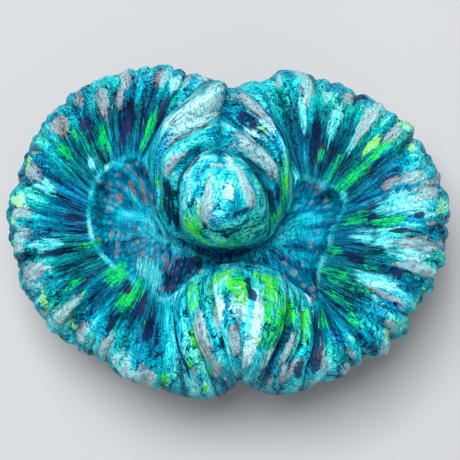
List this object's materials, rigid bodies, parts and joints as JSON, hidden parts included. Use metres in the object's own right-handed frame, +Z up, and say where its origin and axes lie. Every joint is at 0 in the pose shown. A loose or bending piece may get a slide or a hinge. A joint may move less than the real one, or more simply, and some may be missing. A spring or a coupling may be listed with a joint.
{
  "type": "open brain coral",
  "caption": "Free-living open brain coral, bow-tie shaped, with a puffed ribbed mantle, two pleated folds over a long mouth, and a stony cone cut flat to rest on.",
  "frame": {"origin": "on the flat cut under the stony cone, below the middle of the colony's bounding box", "axes": "+Z up through the mouth, +X along the long way of the colony to its smaller, right lobe, +Y to the back, where the larger pleated fold stands"},
  "size_m": [0.0742, 0.0552, 0.04],
  "materials": {
    "flesh": "moist soft tissue, cyan and teal with jagged navy, pale and fluorescent green streaks along the ribs",
    "skeleton": "dry chalky aragonite, ribbed, off-white stained with greenish and pinkish crusts"
  },
  "bodies": {
    "root": {"brain_coral": "flesh"}
  },
  "joints": []
}
